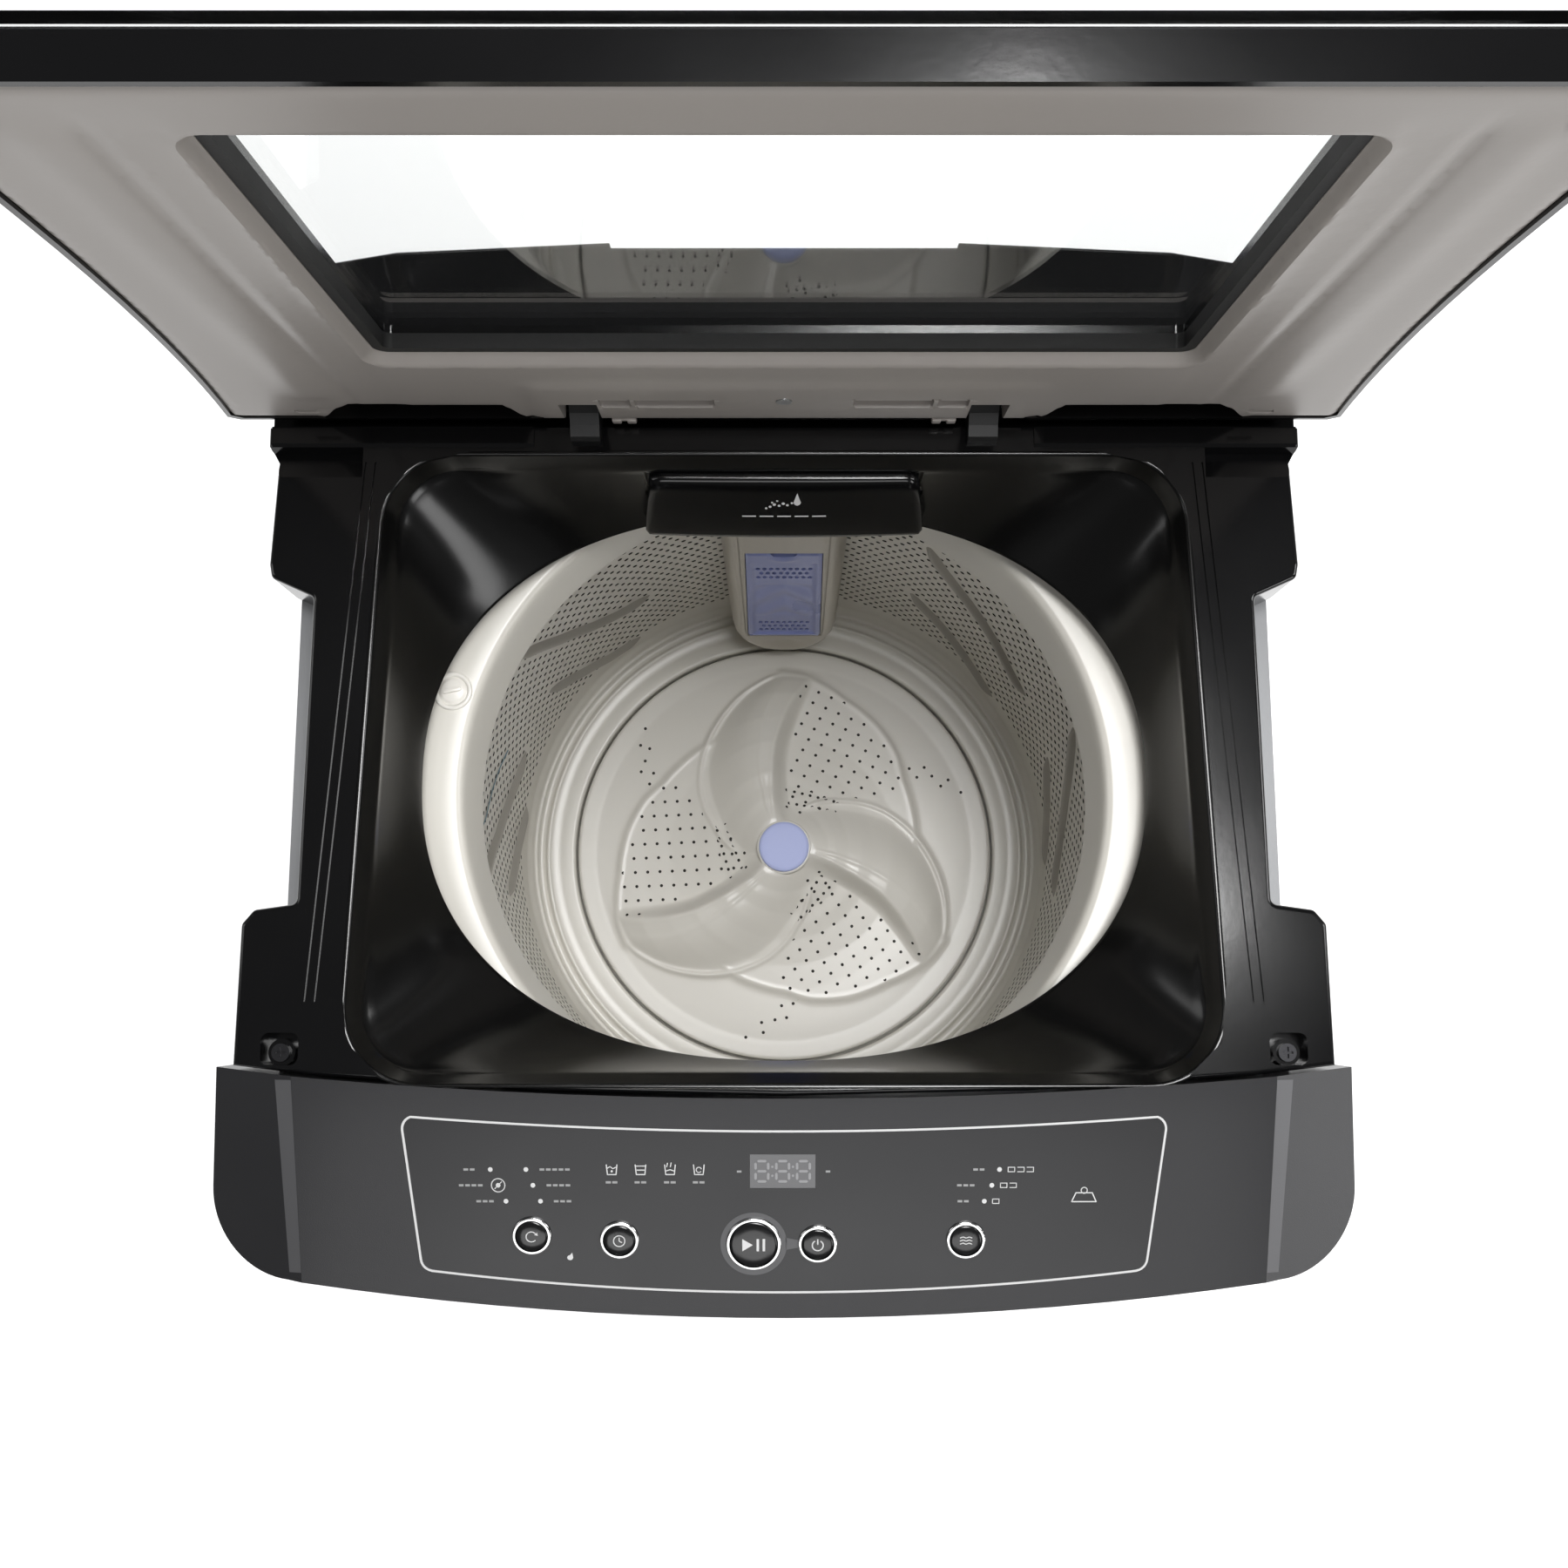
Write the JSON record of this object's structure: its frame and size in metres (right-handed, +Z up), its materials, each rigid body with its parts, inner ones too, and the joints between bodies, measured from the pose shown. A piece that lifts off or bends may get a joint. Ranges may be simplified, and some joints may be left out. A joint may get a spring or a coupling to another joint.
{
  "type": "top load washing machine",
  "caption": "Top load washing machine with a hinged glass lid standing open, front control panel, hung tub, perforated drum and finned wash plate.",
  "frame": {"origin": "on the floor under the middle of the plan outline", "axes": "+Z up, +Y towards the back, +X to the right of someone facing the control panel; the lid stands open at rest"},
  "size_m": [0.5704, 0.5552, 1.2721],
  "materials": {
    "base_frame": "moulded base",
    "rubber_feet": "soft",
    "foot_hardware": "zinc plated",
    "cabinet_wrap": "silver grey, satin",
    "back_panel": "silver grey, satin",
    "case_screws": "black zinc",
    "hanger_brackets": "galvanised",
    "suspension_rods": "zinc plated",
    "top_cover": "black gloss",
    "splash_funnel": "black gloss",
    "rear_cover": "black gloss",
    "hinge_brackets": "black",
    "control_panel": "graphite metallic",
    "control_overlay": "graphite film",
    "display_module": "grey display",
    "button_rings": "bright",
    "control_board": "green board",
    "dispenser_housing": "moulded",
    "inlet_valve": "moulded",
    "inlet_hose": "hose",
    "sensors": "moulded",
    "cord_gland": "grommet",
    "drain_outlet": "moulded",
    "drain_hose": "ribbed hose",
    "outer_tub": "moulded",
    "tub_cover": "moulded",
    "tub_seal": "lip seal",
    "suspension_springs": "spring wire",
    "mounting_plate": "galvanised",
    "gearcase": "cast",
    "shaft_bearings": "ground",
    "motor": "black",
    "drive_belt": "ribbed",
    "drain_valve": "moulded",
    "drain_actuator": "moulded",
    "basket_wall": "pale grey, perforated",
    "balance_ring": "off-white",
    "ring_plug": "off-white",
    "basket_base": "pale grey",
    "spin_shaft": "machined",
    "filter_housing": "beige grey",
    "lint_filter": "lavender blue",
    "pulsator": "pale grey",
    "pulsator_cap": "lavender blue",
    "wash_shaft": "machined",
    "drive_pulley": "cast",
    "motor_rotor": "machined",
    "detergent_drawer": "moulded",
    "drawer_front": "black gloss",
    "lid_glass": "clear",
    "lid_frame": "black",
    "lid_liner": "taupe, satin",
    "lid_rubbers": "soft",
    "lid_hardware": "zinc plated",
    "button_start": "black gloss",
    "button_power": "black gloss",
    "button_program": "black gloss",
    "button_delay": "black gloss",
    "button_level": "black gloss"
  },
  "bodies": {
    "cabinet": {"base_frame": "base_frame", "rubber_feet": "rubber_feet", "foot_hardware": "foot_hardware", "cabinet_wrap": "cabinet_wrap", "back_panel": "back_panel", "case_screws": "case_screws", "hanger_brackets": "hanger_brackets", "suspension_rods": "suspension_rods", "top_cover": "top_cover", "splash_funnel": "splash_funnel", "rear_cover": "rear_cover", "hinge_brackets": "hinge_brackets", "control_panel": "control_panel", "control_overlay": "control_overlay", "display_module": "display_module", "button_rings": "button_rings", "control_board": "control_board", "dispenser_housing": "dispenser_housing", "inlet_valve": "inlet_valve", "inlet_hose": "inlet_hose", "sensors": "sensors", "cord_gland": "cord_gland", "drain_outlet": "drain_outlet", "drain_hose": "drain_hose"},
    "tub": {"outer_tub": "outer_tub", "tub_cover": "tub_cover", "tub_seal": "tub_seal", "suspension_springs": "suspension_springs", "mounting_plate": "mounting_plate", "gearcase": "gearcase", "shaft_bearings": "shaft_bearings", "motor": "motor", "drive_belt": "drive_belt", "drain_valve": "drain_valve", "drain_actuator": "drain_actuator"},
    "basket": {"basket_wall": "basket_wall", "balance_ring": "balance_ring", "ring_plug": "ring_plug", "basket_base": "basket_base", "spin_shaft": "spin_shaft", "filter_housing": "filter_housing"},
    "lint_filter": {"lint_filter": "lint_filter"},
    "pulsator": {"pulsator": "pulsator", "pulsator_cap": "pulsator_cap", "wash_shaft": "wash_shaft", "drive_pulley": "drive_pulley"},
    "motor_rotor": {"motor_rotor": "motor_rotor"},
    "drawer": {"detergent_drawer": "detergent_drawer", "drawer_front": "drawer_front"},
    "lid": {"lid_glass": "lid_glass", "lid_frame": "lid_frame", "lid_liner": "lid_liner", "lid_rubbers": "lid_rubbers", "lid_hardware": "lid_hardware"},
    "button_start": {"button_start": "button_start"},
    "button_power": {"button_power": "button_power"},
    "button_program": {"button_program": "button_program"},
    "button_delay": {"button_delay": "button_delay"},
    "button_level": {"button_level": "button_level"}
  },
  "joints": [
    {"name": "lid_hinge", "type": "hinge", "parent": "cabinet", "child": "lid", "pos_m": [0, 0.184, 0.938], "axis": [1, 0, 0], "range_deg": [0, 84]},
    {"name": "tub_bounce", "type": "slide", "parent": "cabinet", "child": "tub", "axis": [0, 0, 1], "range_m": [-0.012, 0.005], "stiffness_N_per_m": 12000, "springref_m": 0.01747, "deforming": ["suspension_springs", "drain_hose"]},
    {"name": "basket_spin", "type": "hinge", "parent": "tub", "child": "basket", "pos_m": [0, -0.006, 0.6], "axis": [0, 0, 1], "continuous": true},
    {"name": "pulsator_spin", "type": "hinge", "parent": "tub", "child": "pulsator", "pos_m": [0, -0.006, 0.5], "axis": [0, 0, 1], "continuous": true},
    {"name": "motor_spin", "type": "hinge", "parent": "tub", "child": "motor_rotor", "pos_m": [-0.104, 0.09, 0.36], "axis": [0, 0, 1], "continuous": true},
    {"name": "filter_tilt", "type": "hinge", "parent": "basket", "child": "lint_filter", "pos_m": [0, 0.15344, 0.564], "axis": [1, 0, 0], "range_deg": [0, 25]},
    {"name": "drawer_slide", "type": "slide", "parent": "cabinet", "child": "drawer", "axis": [0, -1, 0], "range_m": [0, 0.075]},
    {"name": "start_press", "type": "slide", "parent": "cabinet", "child": "button_start", "axis": [0, 0.2924, -0.9563], "range_m": [0, 0.001], "stiffness_N_per_m": 900, "springref_m": -0.0006},
    {"name": "power_press", "type": "slide", "parent": "cabinet", "child": "button_power", "axis": [0, 0.2924, -0.9563], "range_m": [0, 0.001], "stiffness_N_per_m": 900, "springref_m": -0.0006},
    {"name": "program_press", "type": "slide", "parent": "cabinet", "child": "button_program", "axis": [0, 0.2924, -0.9563], "range_m": [0, 0.001], "stiffness_N_per_m": 900, "springref_m": -0.0006},
    {"name": "delay_press", "type": "slide", "parent": "cabinet", "child": "button_delay", "axis": [0, 0.2924, -0.9563], "range_m": [0, 0.001], "stiffness_N_per_m": 900, "springref_m": -0.0006},
    {"name": "level_press", "type": "slide", "parent": "cabinet", "child": "button_level", "axis": [0, 0.2924, -0.9563], "range_m": [0, 0.001], "stiffness_N_per_m": 900, "springref_m": -0.0006}
  ],
  "couplings": [
    {"joint": "motor_spin", "follows": "pulsator_spin", "ratio": 3.875}
  ]
}
